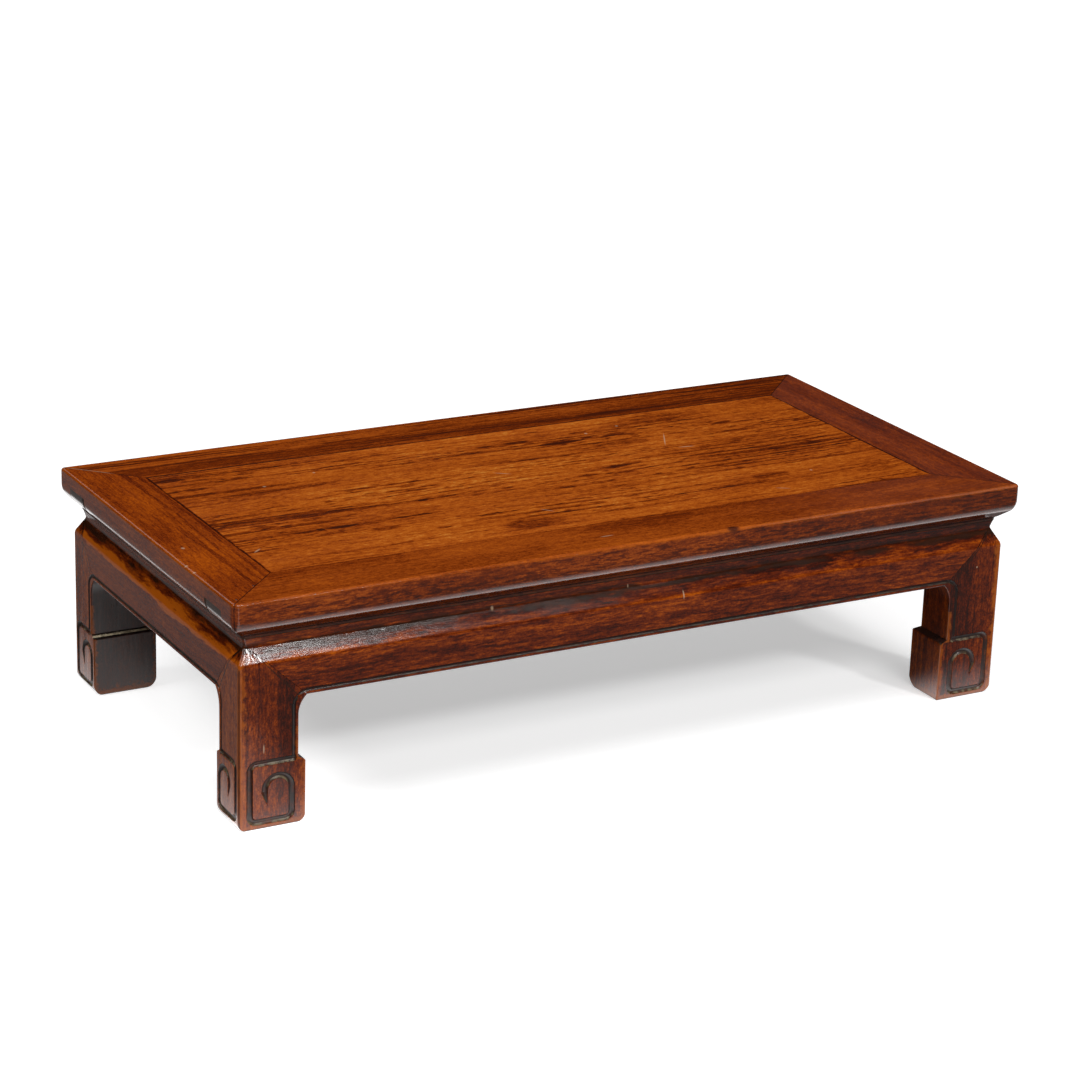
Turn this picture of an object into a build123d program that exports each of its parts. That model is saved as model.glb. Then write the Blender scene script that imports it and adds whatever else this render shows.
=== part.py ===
from build123d import *
import math
import os

# Kang table: a low waisted table in joined wood.
# Frame: origin at the bottom centre, +X along the table, +Y to the back, +Z up.
# Sizes are in millimetres.

# Driving sizes
table_length = 900.0
table_depth = 450.0
table_height = 236.0

# Top: a mitred frame of four moulded rails round a floating panel
rail_width = 68.0
rail_height = 42.0
top_arris_radius = 3.2
roll_vertex_depth = 25.4        # below the top, where the edge's two flats would meet
roll_radius = 18.0
under_slope = 40.0              # degrees, of the moulding's underside
slope_inset = 15.5              # where the sloped underside ends, from the outer edge
quirk_inset = 16.9
quirk_height = 1.1
lip_inset = 16.1
lip_corner_radius = 5.0         # in plan
corner_radii = {                # of the top in plan, as worn
    "front_left": 7.0,
    "front_right": 5.0,
    "back_left": 4.0,
    "back_right": 4.0,
}
mitre_gap = 0.35                # the frame's mitres have opened a little
mitre_gap_depth = 3.0
panel_thickness = 14.0
panel_gap = 0.6                 # all round, lets the panel move
panel_shift = -0.35             # along Y: the panel has crept to the front
tongue_thickness = 6.0
tongue_length = 9.0
panel_groove_depth = 9.6
tenon_bottom = 207.0            # the long rails' through-tenons, heights above the floor
tenon_top = 221.5
tenon_inset = 28.0              # from the table's outer edge

# Battens under the panel
batten_centres = (-200.0, 0.0, 200.0)
batten_width = 32.0
batten_height = 23.0
dovetail_height = 5.0
dovetail_neck = 16.0
dovetail_head = 22.0
batten_tenon_length = 10.0
batten_tenon_width = 20.0

# Base: four legs and four aprons, each apron in one board with its waist
overhang = 10.0                 # of the top beyond the legs' faces
waist_recess = 9.6              # of the waist's foot behind the apron's face
waist_top_recess = 7.0          # of its top, which leans out
board_thickness = 22.0
apron_bottom = 130.5
shoulder_low = 168.2            # where the shoulder's slope would meet the face
shoulder_high = 184.8           # where it would meet the waist
shoulder_radius = 9.0
cove_radius = 6.0
mitre_top = 187.8
waist_arris = 0.8
bead_radius = 1.5
tongue_reach = 16.0             # the aprons' tongues, into the legs
tongue_foot = 136.0
top_tongue_inset = 13.5         # the aprons' top tongues, from their face
top_tongue_width = 5.0
top_tongue_height = 5.0
top_tongue_start = 92.0         # from the legs' outer faces
joint_gap_depth = 8.0
joint_gaps = {                  # of each leg's mitres with its aprons, at the top and the bottom
    "front_left": (0.5, 0.6),
    "front_right": (1.3, 0.5),
    "back_left": (0.6, 0.5),
    "back_right": (0.5, 0.5),
}

leg_width = 62.4                # along X
leg_depth = 47.3                # along Y
arris_radius = 3.0
claw_radius = 26.0              # of the rounded corner under the apron
claw_height = 19.5
leg_tenon = 12.0                # height of the two stub tenons on each leg

foot_width = 70.0
foot_depth = 53.3
foot_shoulder = 68.0            # where the foot's top meets the leg
foot_top = 64.0                 # the same at the foot's edge
foot_top_radii = (4.5, 2.0)     # in the front's and the side's elevation
foot_bottom_radii = {           # as worn: outer and inner along X, outer and inner along Y
    "front_left": (8.0, 10.0, 1.0, 17.0),
    "front_right": (13.0, 1.0, 1.0, 16.0),
    "back_left": (12.0, 14.0, 17.0, 3.0),
    "back_right": (9.0, 8.0, 10.0, 5.0),
}

# Carved grooves: a round tool, run with its centre a little outside the face
bead_tool_radius = 2.2
bead_tool_lift = 0.5
bead_bend = 15.0
bead_above_edge = 4.7           # the groove's centre, from the apron's lower edge
bead_beside_edge = {            # the same from each leg's inner edges, as cut by hand
    "front_left": 5.4,
    "front_right": 8.0,
    "back_left": 5.6,
    "back_right": 6.4,
}
scroll_tool_radius = 3.5
scroll_tool_lift = 0.8
scroll_bend = 7.0
front_scroll = {"outer": 11.5, "top": 67.5, "bottom": 7.2, "inner": 55.5, "crown": 52.5, "hook": 27.0}
side_scroll = {"outer": 7.8, "top": 68.5, "bottom": 10.0, "inner": 46.5, "crown": 54.0, "hook": 22.8}
tail_radius = 0.8
tail_length = 15.0
tail_turn = 12.0                # degrees

peg_radius = 3.0
pinhole_radius = 1.7
pinholes = ((-440.5, -211.7), (-410.4, -182.8))

corners = ("front_left", "front_right", "back_left", "back_right")
half_length = table_length / 2
half_depth = table_depth / 2
underside = table_height - rail_height
face_x = half_length - overhang
face_y = half_depth - overhang
panel_bottom = table_height - panel_thickness
bead_height = apron_bottom + bead_above_edge
waist_lean = (waist_recess - waist_top_recess) / (underside - shoulder_high)
mitre_inset = waist_recess - waist_lean * (mitre_top - shoulder_high)

os.makedirs("parts", exist_ok=True)


def rounded_outline(points):
    """A face from (x, y, radius) corners, each rounded by its own radius."""
    count = len(points)
    entries = []
    exits = []
    middles = []
    for i in range(count):
        corner = Vector(points[i][0], points[i][1])
        before = (Vector(*points[i - 1][:2]) - corner).normalized()
        after = (Vector(*points[(i + 1) % count][:2]) - corner).normalized()
        radius = points[i][2]
        half_angle = math.radians(before.get_angle(after)) / 2
        reach = radius / math.tan(half_angle)
        entries.append(corner + before * reach)
        exits.append(corner + after * reach)
        bisector = (before + after).normalized()
        middles.append(corner + bisector * (radius / math.sin(half_angle) - radius))
    edges = []
    for i in range(count):
        if points[i][2] > 0:
            edges.append(ThreePointArc(entries[i], middles[i], exits[i]))
        edges.append(Line(exits[i], entries[(i + 1) % count]))
    return make_face(edges)


def block(x_range, y_range, z_range):
    """A box between three pairs of limits."""
    size = [limits[1] - limits[0] for limits in (x_range, y_range, z_range)]
    centre = [(limits[0] + limits[1]) / 2 for limits in (x_range, y_range, z_range)]
    return Pos(*centre) * Box(*size)


def plan_prism(points, low, high):
    """A polygon in plan, raised between two heights."""
    face = make_face(Polyline(*points, close=True))
    return Pos(0, 0, low) * extrude(face, high - low)


def front_slab(face, y_low, y_high):
    """A face drawn in X and Z, given its thickness along Y."""
    return Pos(0, y_high, 0) * extrude(Plane.XZ * face, y_high - y_low)


def side_slab(face, x_low, x_high):
    """A face drawn in Y and Z, given its thickness along X."""
    return Pos(x_low, 0, 0) * extrude(Plane.YZ * face, x_high - x_low)


def mirror_x(shape):
    return mirror(shape, about=Plane.YZ)


def mirror_y(shape):
    return mirror(shape, about=Plane.XZ)


def to_corner(corner, shape):
    """A shape made for the front left corner, moved to the corner named."""
    if corner == "front_right":
        return mirror_x(shape)
    if corner == "back_left":
        return mirror_y(shape)
    if corner == "back_right":
        return Rot(0, 0, 180) * shape
    return shape


# ---- the battens under the panel ----

inner_x = half_length - rail_width
inner_y = half_depth - rail_width


def batten(centre):
    body = block(
        (centre - batten_width / 2, centre + batten_width / 2),
        (-inner_y, inner_y),
        (panel_bottom - batten_height, panel_bottom),
    )
    tenon_reach = inner_y + batten_tenon_length
    tenon = block(
        (centre - batten_tenon_width / 2, centre + batten_tenon_width / 2),
        (-tenon_reach, tenon_reach),
        (panel_bottom - batten_height + 4, panel_bottom - 6),
    )
    dovetail = make_face(Polyline(
        (centre - dovetail_neck / 2, panel_bottom),
        (centre + dovetail_neck / 2, panel_bottom),
        (centre + dovetail_head / 2, panel_bottom + dovetail_height),
        (centre - dovetail_head / 2, panel_bottom + dovetail_height),
        close=True,
    ))
    key_reach = inner_y - panel_gap + panel_shift
    return body + tenon + front_slab(dovetail, -key_reach, key_reach)


battens = {
    "batten_left": batten(batten_centres[0]),
    "batten_middle": batten(batten_centres[1]),
    "batten_right": batten(batten_centres[2]),
}


# ---- the floating panel, tongued all round ----

panel_x = inner_x - panel_gap
panel_y = inner_y - panel_gap
panel_board = block(
    (-panel_x, panel_x),
    (-panel_y + panel_shift, panel_y + panel_shift),
    (panel_bottom, table_height),
)
panel_tongue = block(
    (-panel_x - tongue_length, panel_x + tongue_length),
    (-panel_y - tongue_length + panel_shift, panel_y + tongue_length + panel_shift),
    (panel_bottom, panel_bottom + tongue_thickness),
)
top_panel = panel_board + panel_tongue
for part in battens.values():
    top_panel -= part


# ---- the profiles of the base ----

def base_profile(face):
    """Corners of apron, shoulder and waist, with the outer face at the local X given."""
    return [
        (face, shoulder_low, shoulder_radius),
        (face + waist_recess, shoulder_high, cove_radius),
        (face + waist_top_recess, underside, 0),
    ]


def arris_waste():
    """What is rounded off along the outer edge of a leg, its shoulder and the waist above."""
    def outline(face):
        inner = face + 30
        return rounded_outline(base_profile(face) + [(inner, underside, 0), (inner, -1, 0), (face, -1, 0)])

    square = front_slab(outline(-face_x), -face_y, -face_y + 30)
    square &= side_slab(outline(-face_y), -face_x, -face_x + 30)
    arris = []
    for edge in square.edges():
        across = edge.center().X + face_x
        along = edge.center().Y + face_y
        if abs(across - along) < 0.01 and across < board_thickness:
            arris.append(edge)
    return square - fillet(arris, arris_radius)


corner_waste = arris_waste()


def claw_end(width):
    """How far from the leg's outer face the rounded corner meets the apron's bottom."""
    return width + claw_radius - math.sqrt(claw_radius ** 2 - claw_height ** 2)


# ---- the aprons, each in one board with the waist above it ----

def apron_section(face):
    """Section of the board, with its outer face at the local X given."""
    shoulder, cove, waist = base_profile(face)
    return rounded_outline([
        (face + board_thickness, apron_bottom, 0),
        (face, apron_bottom, bead_radius),
        shoulder,
        cove,
        (waist[0], waist[1], waist_arris),
        (face + board_thickness, underside, 0),
    ])


def board_ends(face):
    """Elevation of a board whose two ends have the profile of the boards round the corner."""
    left = base_profile(-face)
    right = [(-x, z, radius) for x, z, radius in reversed(left)]
    foot = apron_bottom - 1
    return rounded_outline([(-face, foot, 0)] + left + right + [(face, foot, 0)])


def end_cutters(face, width):
    """Outlines, in the distance along the board and Z, of what its mitred left end loses:
    the part in front that the leg's own skin fills, and the part behind it."""
    below = apron_bottom - 5
    mitre = make_face(Polyline(
        (face - 5, mitre_top),
        (face + mitre_inset, mitre_top),
        (face + claw_end(width), apron_bottom),
        (face + claw_end(width), below),
        (face - 5, below),
        close=True,
    ))
    tongue = make_face(Polyline(
        (face - 5, mitre_top),
        (face + width - tongue_reach, mitre_top),
        (face + width - tongue_reach, tongue_foot),
        (face + width, tongue_foot),
        (face + width, below),
        (face - 5, below),
        close=True,
    ))
    return mitre, tongue


def gap_outline(face, width, gaps):
    """Outline of the open joint along that mitre, at the board's left end."""
    below = 2.0
    run = (claw_end(width) - mitre_inset) * (1 + below / (mitre_top - apron_bottom))
    start = face + mitre_inset
    return make_face(Polyline(
        (start, mitre_top),
        (start + gaps[0], mitre_top),
        (start + run + gaps[1], apron_bottom - below),
        (start + run, apron_bottom - below),
        close=True,
    ))


def front_apron():
    board = side_slab(apron_section(-face_y), -face_x, face_x)
    board &= front_slab(board_ends(face_x), -face_y - 1, -face_y + board_thickness + 1)
    mitre, tongue = end_cutters(-face_x, leg_width)
    skin = front_slab(mitre, -face_y - 1, -face_y + waist_recess)
    back = front_slab(tongue, -face_y + waist_recess, -face_y + board_thickness + 1)
    waist_corner = plan_prism([
        (-face_x, -face_y),
        (-face_x, -face_y + board_thickness),
        (-face_x + board_thickness, -face_y + board_thickness),
    ], mitre_top, underside)
    for cutter in (skin, back, waist_corner):
        board -= cutter
        board -= mirror_x(cutter)
    tongue_x = face_x - top_tongue_start
    tongue_y = -face_y + top_tongue_inset
    return board + block(
        (-tongue_x, tongue_x),
        (tongue_y, tongue_y + top_tongue_width),
        (underside, underside + top_tongue_height),
    )


def left_apron():
    board = front_slab(apron_section(-face_x), -face_y, face_y)
    board &= side_slab(board_ends(face_y), -face_x - 1, -face_x + board_thickness + 1)
    mitre, tongue = end_cutters(-face_y, leg_depth)
    skin = side_slab(mitre, -face_x - 1, -face_x + waist_recess)
    back = side_slab(tongue, -face_x + waist_recess, -face_x + board_thickness + 1)
    waist_corner = plan_prism([
        (-face_x, -face_y),
        (-face_x + board_thickness, -face_y),
        (-face_x + board_thickness, -face_y + board_thickness),
    ], mitre_top, underside)
    for cutter in (skin, back, waist_corner):
        board -= cutter
        board -= mirror_y(cutter)
    tongue_y = face_y - top_tongue_start
    tongue_x = -face_x + top_tongue_inset
    return board + block(
        (tongue_x, tongue_x + top_tongue_width),
        (-tongue_y, tongue_y),
        (underside, underside + top_tongue_height),
    )


apron_blanks = {"front": front_apron(), "left": left_apron()}
apron_blanks["back"] = mirror_y(apron_blanks["front"])
apron_blanks["right"] = mirror_x(apron_blanks["left"])


# ---- the carved grooves: a bead along each opening, and a scroll on each foot's outer faces ----

def bead_tool(face, width, scroll, left_inset, right_inset):
    """The cutter that sets off the bead, in the local X and Z, from foot to foot."""
    left = face + width - left_inset
    right = -face - width + right_inset
    path = FilletPolyline(
        (left, scroll["top"]),
        (left, bead_height),
        (right, bead_height),
        (right, scroll["top"]),
        radius=bead_bend,
    )
    profile = Plane(origin=path @ 0, z_dir=path % 0) * Circle(bead_tool_radius)
    return sweep(profile, path)


def scroll_tool(face, width, scroll, inset):
    """The cutter for the scroll on the left foot: a round tool with a tapered tail."""
    round_top = (scroll["inner"] - scroll["hook"]) / 2 - 0.25
    tail_start = scroll["crown"] - round_top - 1.5
    path = FilletPolyline(
        (face + width - inset, scroll["top"]),
        (face + scroll["outer"], scroll["top"]),
        (face + scroll["outer"], scroll["bottom"]),
        (face + scroll["inner"], scroll["bottom"]),
        (face + scroll["inner"], scroll["crown"]),
        (face + scroll["hook"], scroll["crown"]),
        (face + scroll["hook"], tail_start),
        radius=[scroll_bend, scroll_bend, scroll_bend, round_top, round_top],
    )
    profile = Plane(origin=path @ 0, z_dir=path % 0) * Circle(scroll_tool_radius)
    tail = Cone(
        scroll_tool_radius, tail_radius, tail_length, align=(Align.CENTER, Align.CENTER, Align.MIN))
    tail_place = Pos(face + scroll["hook"], tail_start, 0)
    return [
        sweep(profile, path),
        tail_place * Rot(0, 0, tail_turn) * Rot(90, 0, 0) * tail,
        tail_place * Sphere(scroll_tool_radius),
        Pos(face + width - inset, scroll["top"], 0) * Sphere(scroll_tool_radius),
    ]


def on_front(tool, lift):
    """A cutter stood up on the front face: local Y becomes Z."""
    return Pos(0, -face_y - lift, 0) * Rot(90, 0, 0) * tool


def on_left(tool, lift):
    """A cutter stood up on the left face: local X runs along Y, local Y becomes Z."""
    return Pos(-face_x - lift, 0, 0) * Rot(0, 0, 90) * Rot(90, 0, 0) * tool


def front_bead(left_inset, right_inset):
    tool = bead_tool(-face_x, leg_width, front_scroll, left_inset, right_inset)
    return on_front(tool, bead_tool_lift)


def left_bead(near_inset, far_inset):
    tool = bead_tool(-face_y, leg_depth, side_scroll, near_inset, far_inset)
    return on_left(tool, bead_tool_lift)


def leg_tools(inset):
    """All cutters for one leg, in the place of the front left leg."""
    front = scroll_tool(-face_x, leg_width, front_scroll, inset)
    left = scroll_tool(-face_y, leg_depth, side_scroll, inset)
    tools = [front_bead(inset, inset), left_bead(inset, inset)]
    tools += [on_front(tool, scroll_tool_lift) for tool in front]
    tools += [on_left(tool, scroll_tool_lift) for tool in left]
    return tools


# ---- the legs ----

def leg_outline(face, width, foot, outer_radius, inner_radius, top_radius):
    """Elevation of a leg, with its outer face at the local X given."""
    shoulder, cove, waist = base_profile(face)
    return rounded_outline([
        (face, 0, outer_radius),
        shoulder,
        cove,
        (face + mitre_inset, mitre_top, 0),
        (face + width, mitre_top, 0),
        (face + width, foot_shoulder, 0),
        (face + foot, foot_top, top_radius),
        (face + foot, 0, inner_radius),
    ])


def claw_outline(face, width):
    """The leg's rounded inner corner, up to where the apron is cut over it."""
    start = apron_bottom - claw_height
    angle = math.asin(claw_height / claw_radius) / 2
    middle = (
        face + width + claw_radius * (1 - math.cos(angle)),
        start + claw_radius * math.sin(angle),
    )
    end = (face + claw_end(width), apron_bottom)
    crown = apron_bottom + 9
    root = face + width - 2
    return make_face([
        Line((root, start), (face + width, start)),
        ThreePointArc((face + width, start), middle, end),
        Line(end, (end[0], crown)),
        Line((end[0], crown), (root, crown)),
        Line((root, crown), (root, start)),
    ])


def inner_edges(leg):
    """The edges of a leg's two outer faces along the openings."""
    found = []
    for edge in leg.edges():
        centre = edge.center()
        low, high = edge.bounding_box().min, edge.bounding_box().max
        upright = high.Z - low.Z > 5
        between = low.Z > foot_top and high.Z < apron_bottom + 0.01
        on_front_face = high.Y < -face_y + 0.01 and centre.X > -face_x + leg_width - 0.01
        on_left_face = high.X < -face_x + 0.01 and centre.Y > -face_y + leg_depth - 0.01
        if upright and between and (on_front_face or on_left_face):
            found.append(edge)
    return found


def leg_blank(radii):
    """A leg before the aprons and the carving are cut in, in the place of the front left one."""
    outer_x, inner_x, outer_y, inner_y = radii
    front = leg_outline(-face_x, leg_width, foot_width, outer_x, inner_x, foot_top_radii[0])
    side = leg_outline(-face_y, leg_depth, foot_depth, outer_y, inner_y, foot_top_radii[1])
    plan = rounded_outline([
        (-face_x, -face_y, 0),
        (-face_x + foot_width, -face_y, bead_radius),
        (-face_x + foot_width, -face_y + foot_depth, bead_radius),
        (-face_x, -face_y + foot_depth, bead_radius),
    ])
    leg = front_slab(front, -face_y, -face_y + foot_depth)
    leg &= side_slab(side, -face_x, -face_x + foot_width)
    leg &= extrude(plan, mitre_top)
    leg += front_slab(claw_outline(-face_x, leg_width), -face_y, -face_y + board_thickness)
    leg += side_slab(claw_outline(-face_y, leg_depth), -face_x, -face_x + board_thickness)
    leg = fillet(inner_edges(leg), bead_radius)
    leg -= corner_waste
    return leg + block(
        (-face_x + board_thickness, -face_x + leg_width),
        (-face_y + board_thickness, -face_y + leg_depth),
        (mitre_top - 1, underside),
    )


def leg_tenons():
    """Two stub tenons: one for the long rail, one for the short rail."""
    long_rail = block(
        (-face_x + 44, -face_x + 58),
        (-face_y + 26, -face_y + 38),
        (underside, underside + leg_tenon),
    )
    short_rail = block(
        (-face_x + 23, -face_x + 33),
        (-face_y + 36, -face_y + 46),
        (underside, underside + leg_tenon),
    )
    return long_rail, short_rail


tenons = leg_tenons()


def make_leg(corner):
    leg = leg_blank(foot_bottom_radii[corner])
    leg -= apron_blanks["front"]
    leg -= apron_blanks["left"]
    for tool in leg_tools(bead_beside_edge[corner]):
        leg -= tool
    for tenon in tenons:
        leg += tenon
    return to_corner(corner, leg)


legs = {"leg_" + corner: make_leg(corner) for corner in corners}


# ---- the aprons, finished ----

def finish_long_apron(board, left, right):
    """Cut a front board's grooves, open joints and corners; left and right name its corners."""
    board -= front_bead(bead_beside_edge[left], bead_beside_edge[right])
    left_gap = gap_outline(-face_x, leg_width, joint_gaps[left])
    right_gap = gap_outline(-face_x, leg_width, joint_gaps[right])
    board -= front_slab(left_gap, -face_y - 1, -face_y + joint_gap_depth)
    board -= mirror_x(front_slab(right_gap, -face_y - 1, -face_y + joint_gap_depth))
    return board - corner_waste - mirror_x(corner_waste)


def finish_short_apron(board, near, far):
    """The same for a left board; near and far name its front and back corners."""
    board -= left_bead(bead_beside_edge[near], bead_beside_edge[far])
    near_gap = gap_outline(-face_y, leg_depth, joint_gaps[near])
    far_gap = gap_outline(-face_y, leg_depth, joint_gaps[far])
    board -= side_slab(near_gap, -face_x - 1, -face_x + joint_gap_depth)
    board -= mirror_y(side_slab(far_gap, -face_x - 1, -face_x + joint_gap_depth))
    return board - corner_waste - mirror_y(corner_waste)


aprons = {
    "apron_front": finish_long_apron(apron_blanks["front"], "front_left", "front_right"),
    "apron_back": mirror_y(finish_long_apron(apron_blanks["front"], "back_left", "back_right")),
    "apron_left": finish_short_apron(apron_blanks["left"], "front_left", "back_left"),
    "apron_right": mirror_x(finish_short_apron(apron_blanks["left"], "front_right", "back_right")),
}


# ---- the top's frame ----

slope_bottom = table_height - roll_vertex_depth - slope_inset * math.tan(math.radians(under_slope))
lip_top = slope_bottom - quirk_height


def rail_section(edge):
    """Section of the moulded rail, with its outer edge at the local X given."""
    return rounded_outline([
        (edge + rail_width, table_height, 0),
        (edge, table_height, top_arris_radius),
        (edge, table_height - roll_vertex_depth, roll_radius),
        (edge + slope_inset, slope_bottom, 0.5),
        (edge + quirk_inset, slope_bottom, 0),
        (edge + quirk_inset, lip_top, 0),
        (edge + lip_inset, lip_top, 0),
        (edge + lip_inset, underside, 0.6),
        (edge + rail_width, underside, 0),
    ])


def top_corner_waste(radius):
    """What is rounded off a corner of the top: the moulding turns round an upright axis,
    and the lip below it is rounded by itself."""
    quadrant = block((-radius, 0), (-radius, 0), (underside, table_height))
    half_section = rail_section(-radius) & (
        Pos(-radius / 2, table_height - rail_height / 2) * Rectangle(radius, rail_height))
    turned = revolve(Plane.XZ * half_section, axis=Axis.Z, revolution_arc=360)
    lip_height = lip_top - underside
    square = Pos(-lip_corner_radius, -lip_corner_radius) * Box(
        2 * lip_corner_radius, 2 * lip_corner_radius, lip_height)
    lip_corner = square - Cylinder(lip_corner_radius, lip_height)
    inset = lip_inset + lip_corner_radius
    moulding_waste = Pos(-half_length + radius, -half_depth + radius, 0) * (quadrant - turned)
    lip_place = Pos(-half_length + inset, -half_depth + inset, underside + lip_height / 2)
    return moulding_waste + lip_place * lip_corner


def frame_prism(points):
    return plan_prism(points, underside, table_height)


long_moulding = side_slab(rail_section(-half_depth), -half_length, half_length)
short_moulding = front_slab(rail_section(-half_length), -half_depth, half_depth)

through_tenon = block(
    (-half_length, -inner_x + 1),
    (-half_depth + tenon_inset, -inner_y),
    (tenon_bottom, tenon_top),
) & short_moulding

panel_groove = block(
    (-inner_x - panel_groove_depth, inner_x + panel_groove_depth),
    (-inner_y - panel_groove_depth, inner_y + panel_groove_depth),
    (panel_bottom, panel_bottom + tongue_thickness),
)

pegs = [
    Pos(sx * (half_length - 24), sy * (half_depth - 48), underside) * Cylinder(
        peg_radius, tenon_top + 2 - underside, align=(Align.CENTER, Align.CENTER, Align.MIN))
    for sx in (-1, 1) for sy in (-1, 1)
]


def mitre_gap_cutter():
    """The open joint at the front left corner: a shallow slit on top and at the outer end."""
    slit = mitre_gap * math.sqrt(2)
    top_slit = plan_prism([
        (-half_length, -half_depth),
        (-inner_x, -inner_y),
        (-inner_x, -inner_y + slit),
        (-half_length, -half_depth + slit),
    ], table_height - mitre_gap_depth, table_height + 1)
    reach = mitre_gap_depth + 2
    end_slit = plan_prism([
        (-half_length, -half_depth),
        (-half_length + reach, -half_depth + reach),
        (-half_length + reach, -half_depth + reach + slit),
        (-half_length, -half_depth + slit),
    ], underside - 1, table_height + 1)
    return [top_slit, end_slit]


def long_rail():
    rail = long_moulding & frame_prism([
        (-half_length, -half_depth),
        (half_length, -half_depth),
        (inner_x, -inner_y),
        (-inner_x, -inner_y),
    ])
    rail = rail + through_tenon + mirror_x(through_tenon)
    rail -= panel_groove
    rail = rail - tenons[0] - mirror_x(tenons[0])
    rail -= apron_blanks["front"]
    for part in list(battens.values()) + pegs:
        rail -= part
    return rail


def short_rail():
    rail = short_moulding & frame_prism([
        (-half_length, -half_depth),
        (-inner_x, -inner_y),
        (-inner_x, inner_y),
        (-half_length, half_depth),
    ])
    rail = rail - through_tenon - mirror_y(through_tenon)
    rail -= panel_groove
    rail = rail - tenons[1] - mirror_y(tenons[1])
    rail -= apron_blanks["left"]
    for part in pegs:
        rail -= part
    for slit in mitre_gap_cutter():
        rail = rail - slit - mirror_y(slit)
    return rail


rail_front = long_rail()
rail_left = short_rail()
rails = {
    "top_rail_front": (rail_front, "front"),
    "top_rail_back": (mirror_y(rail_front), "back"),
    "top_rail_left": (rail_left, "left"),
    "top_rail_right": (mirror_x(rail_left), "right"),
}


def finish_rail(rail, side):
    """Round the rail's two corners, and cut the two old pinholes beside the front left mitre."""
    for corner in corners:
        if side in corner:
            rail -= to_corner(corner, top_corner_waste(corner_radii[corner]))
    if side in "front_left":
        for x, y in pinholes:
            rail -= Pos(x, y, table_height) * Sphere(pinhole_radius)
    return rail


# ---- the nodes ----

nodes = {
    "top_panel": top_panel,
    **{name: finish_rail(rail, side) for name, (rail, side) in rails.items()},
    "frame_pegs": Compound(children=pegs),
    **aprons,
    **legs,
    **battens,
}

for name, shape in nodes.items():
    export_step(shape, f"parts/{name}.step")
    print(name, "volume", round(shape.volume), "solids", len(shape.solids()))
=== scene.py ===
import bpy
import math
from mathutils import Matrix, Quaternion, Vector

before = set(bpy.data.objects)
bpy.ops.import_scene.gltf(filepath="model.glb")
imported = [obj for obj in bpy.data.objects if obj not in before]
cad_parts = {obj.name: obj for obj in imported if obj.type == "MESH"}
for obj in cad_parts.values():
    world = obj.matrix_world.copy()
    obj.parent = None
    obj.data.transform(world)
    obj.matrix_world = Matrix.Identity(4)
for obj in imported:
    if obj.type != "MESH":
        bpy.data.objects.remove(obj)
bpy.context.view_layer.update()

# Sizes of the table that the finish follows, in metres
HALF_LENGTH = 0.450
HALF_DEPTH = 0.225
HEIGHT = 0.236
RAIL_WIDTH = 0.068
RAIL_BOTTOM = 0.194
FACE_X = 0.440  # outer faces of the aprons and legs
FACE_Y = 0.215
LEG_X = 0.3776  # inner faces of the legs
LEG_Y = 0.1677
FOOT_X = 0.3700  # inner faces of the block feet
FOOT_Y = 0.1617
FOOT_TOP = 0.0650
MITRE_TOP = 0.1878  # where the line between apron and leg starts, under the waist
MITRE_INSET = 0.0092
MITRE_SLOPE_X = 0.928  # how far that line runs inward for each metre down
MITRE_SLOPE_Y = 0.665


# ---- camera: fitted to the table's corners and edges ----

CAMERA_PLACE = (-1.54815, -2.76341, 1.27085)
CAMERA_AZIMUTH = -29.234
CAMERA_ELEVATION = 19.250
CAMERA_ROLL = 1.876
CAMERA_LENS = 106.11


def make_camera():
    azimuth = math.radians(CAMERA_AZIMUTH)
    elevation = math.radians(CAMERA_ELEVATION)
    back = Vector((
        math.sin(azimuth) * math.cos(elevation),
        -math.cos(azimuth) * math.cos(elevation),
        math.sin(elevation),
    ))
    data = bpy.data.cameras.new("camera")
    data.lens = CAMERA_LENS
    data.sensor_width = 36.0
    data.clip_start = 0.1
    data.clip_end = 100.0
    camera = bpy.data.objects.new("camera", data)
    bpy.context.scene.collection.objects.link(camera)
    camera.rotation_mode = "QUATERNION"
    aim = (-back).to_track_quat("-Z", "Y")
    camera.rotation_quaternion = aim @ Quaternion((0, 0, 1), math.radians(CAMERA_ROLL))
    camera.location = CAMERA_PLACE
    bpy.context.scene.camera = camera


# ---- writing node trees ----

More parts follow.
